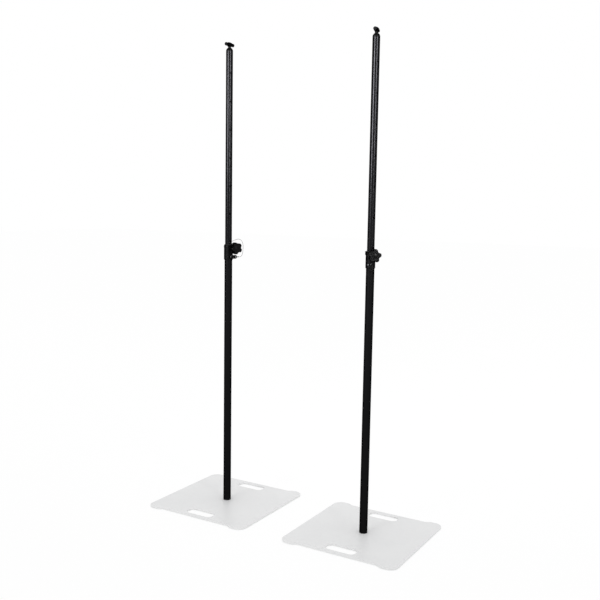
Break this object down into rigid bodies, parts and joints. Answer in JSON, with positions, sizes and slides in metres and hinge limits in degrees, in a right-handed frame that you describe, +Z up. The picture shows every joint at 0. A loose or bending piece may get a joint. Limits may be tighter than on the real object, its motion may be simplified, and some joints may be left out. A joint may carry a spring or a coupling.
{
  "type": "telescopic court pole pair",
  "caption": "Pair of black telescopic poles on square steel floor plates, with a clamp knob, a locking pin on a wire lanyard and a swivelling cross bar on top.",
  "frame": {"origin": "on the floor, midway between the two pole axes", "axes": "+Z up along the poles, +X from the left pole to the right pole, +Y away from the side that the clamp knobs face"},
  "size_m": [1.415, 0.6, 2.3943],
  "materials": {
    "plate_paint": "pale grey textured powder coat",
    "foot_rubber": "matt moulded rubber",
    "zinc": "bright zinc plate",
    "dark_steel": "black oxide",
    "white_nylon": "natural nylon",
    "grey_nylon": "black nylon",
    "matt_tube": "matt black powder coat",
    "gloss_tube": "semi-gloss black paint",
    "black_casting": "satin black coated casting",
    "knob_plastic": "fine-grained black moulding",
    "cap_plastic": "satin black moulding",
    "brass": "turned brass",
    "wire": "stranded steel wire, blackened"
  },
  "bodies": {
    "floor_plates": {"base_plate_left": "plate_paint", "base_feet_left": "foot_rubber", "foot_screws_left": "zinc", "spigot_left": "zinc", "spigot_screw_left": "dark_steel", "base_plate_right": "plate_paint", "base_feet_right": "foot_rubber", "foot_screws_right": "zinc", "spigot_right": "zinc", "spigot_screw_right": "dark_steel"},
    "pole_seat_left": {"foot_washer_left": "grey_nylon"},
    "lower_pole_left": {"lower_tube_left": "matt_tube", "foot_bush_left": "white_nylon", "collar_left": "black_casting", "guide_sleeve_left": "grey_nylon", "collar_screws_left": "dark_steel", "clamp_insert_left": "brass", "lanyard_anchor_left": "dark_steel", "lanyard_left": "wire"},
    "glide_left": {"glide_plug_left": "white_nylon"},
    "upper_pole_left": {"upper_tube_left": "gloss_tube", "end_cap_left": "cap_plastic"},
    "bar_left": {"cross_bar_left": "black_casting", "bar_nut_left": "zinc"},
    "pad_left": {"clamp_pad_left": "brass"},
    "knob_left": {"clamp_screw_left": "zinc", "clamp_knob_left": "knob_plastic", "knob_cap_left": "knob_plastic"},
    "pin_left": {"locking_pin_left": "zinc", "pull_ring_left": "cap_plastic", "lanyard_clip_left": "dark_steel"},
    "pole_seat_right": {"foot_washer_right": "grey_nylon"},
    "lower_pole_right": {"lower_tube_right": "matt_tube", "foot_bush_right": "white_nylon", "collar_right": "black_casting", "guide_sleeve_right": "grey_nylon", "collar_screws_right": "zinc", "clamp_insert_right": "brass", "lanyard_anchor_right": "dark_steel", "lanyard_right": "wire"},
    "glide_right": {"glide_plug_right": "white_nylon"},
    "upper_pole_right": {"upper_tube_right": "gloss_tube", "end_cap_right": "cap_plastic"},
    "bar_right": {"cross_bar_right": "black_casting", "bar_nut_right": "zinc"},
    "pad_right": {"clamp_pad_right": "brass"},
    "knob_right": {"clamp_screw_right": "zinc", "clamp_knob_right": "knob_plastic", "knob_cap_right": "knob_plastic"},
    "pin_right": {"locking_pin_right": "zinc", "pull_ring_right": "cap_plastic", "lanyard_clip_right": "dark_steel"}
  },
  "joints": [
    {"name": "pole_swivel_left", "type": "hinge", "parent": "floor_plates", "child": "pole_seat_left", "pos_m": [-0.4075, 0, 0.01], "axis": [0, 0, 1], "continuous": true},
    {"name": "pole_lift_left", "type": "slide", "parent": "pole_seat_left", "child": "lower_pole_left", "axis": [0, 0, 1], "range_m": [0, 0.13]},
    {"name": "height_slide_left", "type": "slide", "parent": "lower_pole_left", "child": "glide_left", "axis": [0, 0, 1], "range_m": [-0.94, 0.08]},
    {"name": "tube_turn_left", "type": "hinge", "parent": "glide_left", "child": "upper_pole_left", "pos_m": [-0.4075, 0, 1.2], "axis": [0, 0, 1], "continuous": true},
    {"name": "bar_turn_left", "type": "hinge", "parent": "upper_pole_left", "child": "bar_left", "pos_m": [-0.4075, 0, 2.3655], "axis": [0, 0, 1], "continuous": true},
    {"name": "clamp_travel_left", "type": "slide", "parent": "lower_pole_left", "child": "pad_left", "axis": [0.9272, -0.3746, 0], "range_m": [0, 0.003]},
    {"name": "knob_turn_left", "type": "hinge", "parent": "pad_left", "child": "knob_left", "pos_m": [-0.4075, 0, 1.363], "axis": [0.9272, -0.3746, 0], "range_deg": [0, 720]},
    {"name": "pin_pull_left", "type": "slide", "parent": "lower_pole_left", "child": "pin_left", "axis": [0.866, -0.5, 0], "range_m": [0, 0.03], "deforming": ["lanyard_left"]},
    {"name": "pole_swivel_right", "type": "hinge", "parent": "floor_plates", "child": "pole_seat_right", "pos_m": [0.4075, 0, 0.01], "axis": [0, 0, 1], "continuous": true},
    {"name": "pole_lift_right", "type": "slide", "parent": "pole_seat_right", "child": "lower_pole_right", "axis": [0, 0, 1], "range_m": [0, 0.13]},
    {"name": "height_slide_right", "type": "slide", "parent": "lower_pole_right", "child": "glide_right", "axis": [0, 0, 1], "range_m": [-0.94, 0.08]},
    {"name": "tube_turn_right", "type": "hinge", "parent": "glide_right", "child": "upper_pole_right", "pos_m": [0.4075, 0, 1.2], "axis": [0, 0, 1], "continuous": true},
    {"name": "bar_turn_right", "type": "hinge", "parent": "upper_pole_right", "child": "bar_right", "pos_m": [0.4075, 0, 2.3655], "axis": [0, 0, 1], "continuous": true},
    {"name": "clamp_travel_right", "type": "slide", "parent": "lower_pole_right", "child": "pad_right", "axis": [0.6428, -0.766, 0], "range_m": [0, 0.003]},
    {"name": "knob_turn_right", "type": "hinge", "parent": "pad_right", "child": "knob_right", "pos_m": [0.4075, 0, 1.363], "axis": [0.6428, -0.766, 0], "range_deg": [0, 720]},
    {"name": "pin_pull_right", "type": "slide", "parent": "lower_pole_right", "child": "pin_right", "axis": [0.5299, -0.848, 0], "range_m": [0, 0.03], "deforming": ["lanyard_right"]}
  ],
  "couplings": [
    {"joint": "knob_turn_left", "follows": "clamp_travel_left", "rad_per_m": 4188.8},
    {"joint": "knob_turn_right", "follows": "clamp_travel_right", "rad_per_m": 4188.8}
  ]
}
